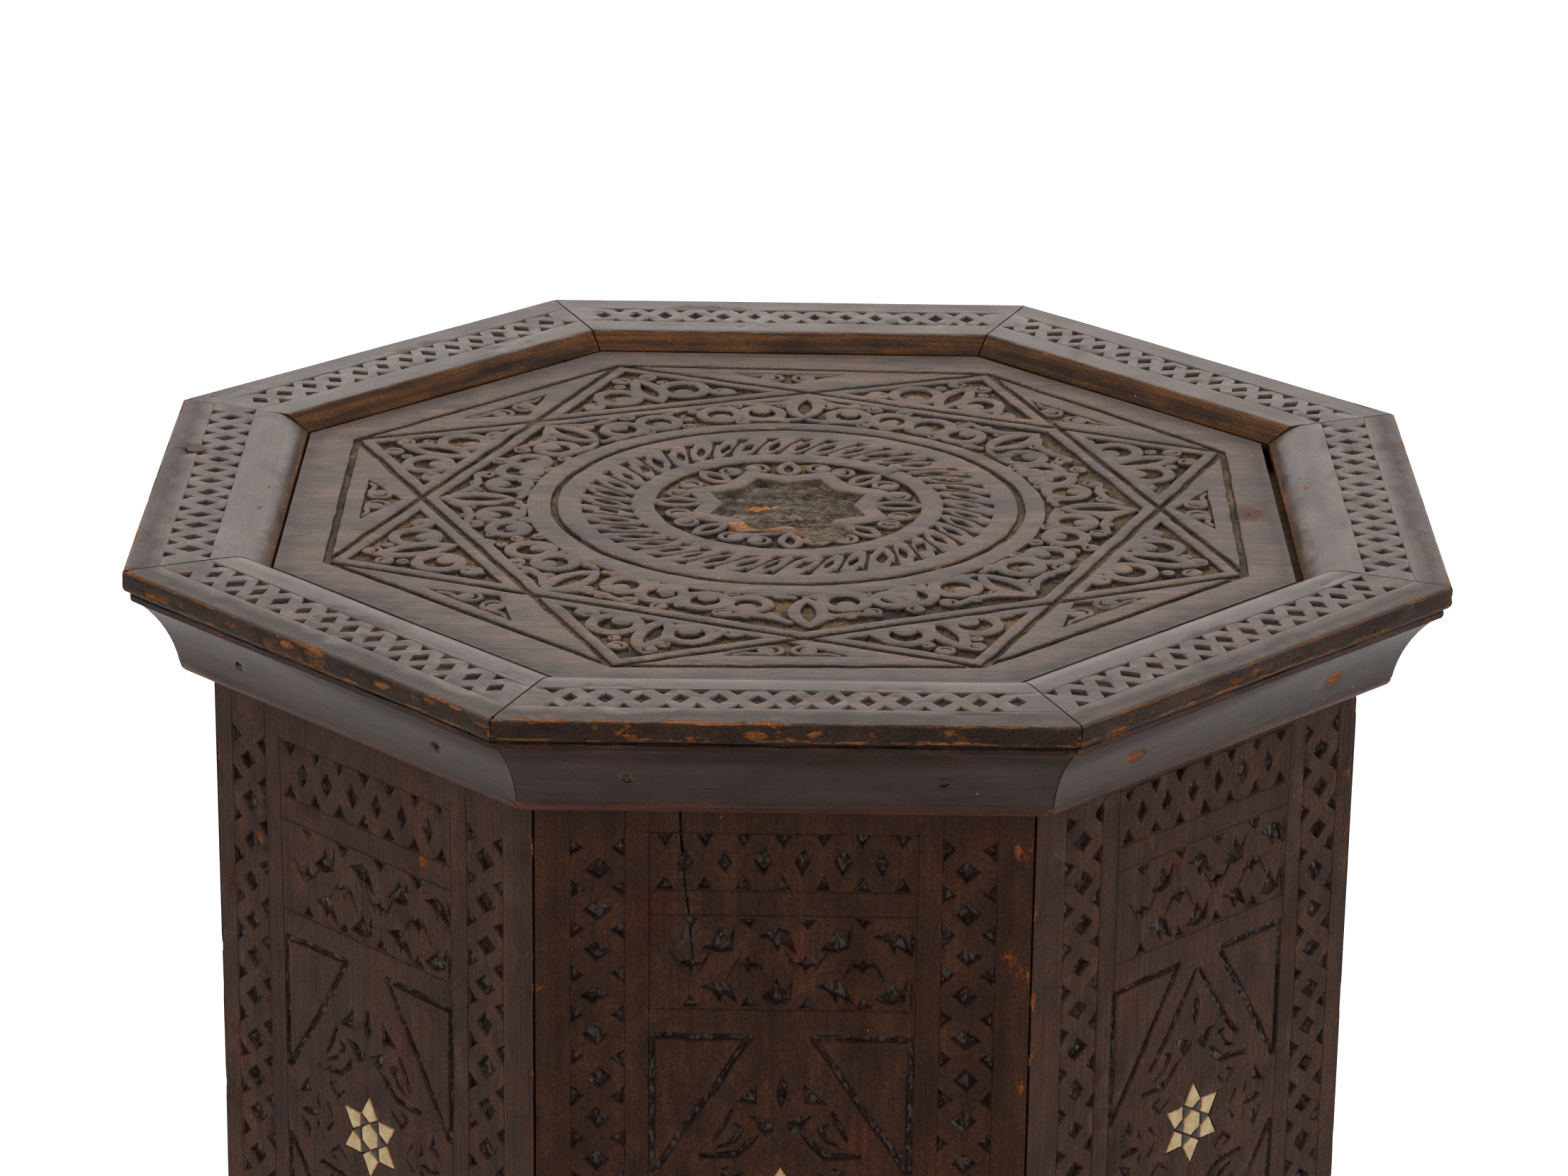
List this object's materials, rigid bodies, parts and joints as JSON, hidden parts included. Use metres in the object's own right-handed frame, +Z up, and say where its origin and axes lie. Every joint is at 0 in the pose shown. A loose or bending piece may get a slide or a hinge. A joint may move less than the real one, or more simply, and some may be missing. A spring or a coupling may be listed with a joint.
{
  "type": "occasional table",
  "caption": "Octagonal carved wooden occasional table with a sunk framed top, coved cornice, sides cut to pointed arches, and inlaid bone stars.",
  "frame": {"origin": "on the floor under the middle of the table", "axes": "+Z up, -Y out of face 1, the front; faces numbered anticlockwise seen from above"},
  "size_m": [0.4288, 0.4288, 0.49],
  "materials": {
    "top_wood": "worn satin, greyed by handling",
    "cornice_wood": "satin, rubbed at the edges",
    "side_wood": "dark stain, varnish left in the carving",
    "inner_wood": "raw, sawn",
    "peg_wood": "raw end grain",
    "bone": "polished bone, yellowed",
    "black_wood": "polished black wood",
    "iron": "dull dark iron"
  },
  "bodies": {
    "root": {"top_board": "top_wood", "rim_pegs": "peg_wood", "cornice_nails": "iron", "rim_board_1": "top_wood", "cornice_1": "cornice_wood", "side_panel_1": "side_wood", "corner_block_1": "inner_wood", "ledger_1": "inner_wood", "star_bone_1": "bone", "star_black_1": "black_wood", "rim_board_2": "top_wood", "cornice_2": "cornice_wood", "side_panel_2": "side_wood", "corner_block_2": "inner_wood", "ledger_2": "inner_wood", "star_bone_2": "bone", "star_black_2": "black_wood", "rim_board_3": "top_wood", "cornice_3": "cornice_wood", "side_panel_3": "side_wood", "corner_block_3": "inner_wood", "ledger_3": "inner_wood", "star_bone_3": "bone", "star_black_3": "black_wood", "rim_board_4": "top_wood", "cornice_4": "cornice_wood", "side_panel_4": "side_wood", "corner_block_4": "inner_wood", "ledger_4": "inner_wood", "star_bone_4": "bone", "star_black_4": "black_wood", "rim_board_5": "top_wood", "cornice_5": "cornice_wood", "side_panel_5": "side_wood", "corner_block_5": "inner_wood", "ledger_5": "inner_wood", "star_bone_5": "bone", "star_black_5": "black_wood", "rim_board_6": "top_wood", "cornice_6": "cornice_wood", "side_panel_6": "side_wood", "corner_block_6": "inner_wood", "ledger_6": "inner_wood", "star_bone_6": "bone", "star_black_6": "black_wood", "rim_board_7": "top_wood", "cornice_7": "cornice_wood", "side_panel_7": "side_wood", "corner_block_7": "inner_wood", "ledger_7": "inner_wood", "star_bone_7": "bone", "star_black_7": "black_wood", "rim_board_8": "top_wood", "cornice_8": "cornice_wood", "side_panel_8": "side_wood", "corner_block_8": "inner_wood", "ledger_8": "inner_wood", "star_bone_8": "bone", "star_black_8": "black_wood"}
  },
  "joints": []
}
